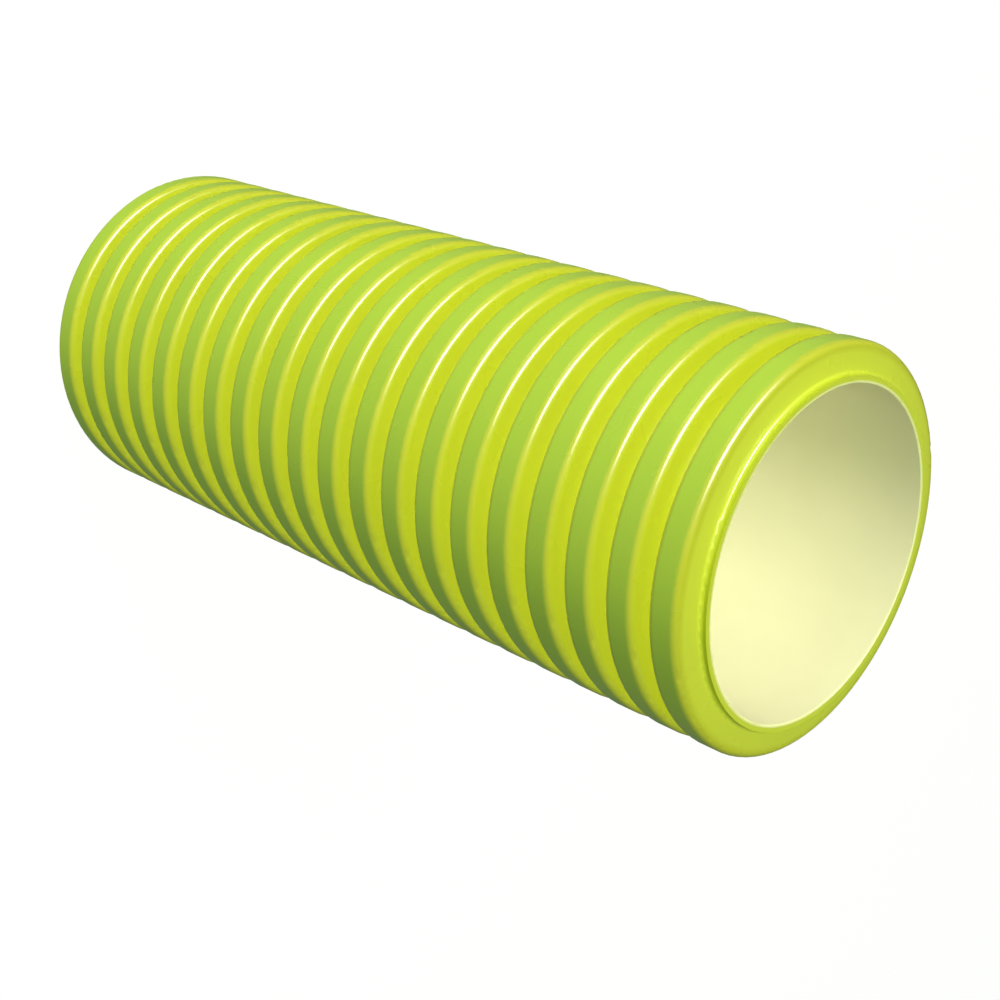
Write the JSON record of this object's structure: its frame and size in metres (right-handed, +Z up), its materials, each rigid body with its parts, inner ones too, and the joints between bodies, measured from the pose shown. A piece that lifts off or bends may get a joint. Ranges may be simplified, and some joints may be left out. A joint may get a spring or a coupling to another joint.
{
  "type": "ventilation duct",
  "caption": "Straight cut length of round corrugated ventilation duct: ribbed green outer wall over a smooth cream liner, open at its ends to carry air.",
  "frame": {"origin": "at floor level, in the middle of the cut end that the duct stands on", "axes": "+Z up the duct's axis, towards the end that the picture shows; X and Y are any two directions across it"},
  "size_m": [0.075, 0.075, 0.1846],
  "materials": {
    "wall_plastic": "lime green polyethylene, moulded, satin",
    "liner_plastic": "pale cream polyethylene, smooth, satin"
  },
  "bodies": {
    "root": {"corrugated_wall": "wall_plastic", "inner_liner": "liner_plastic"}
  },
  "joints": []
}
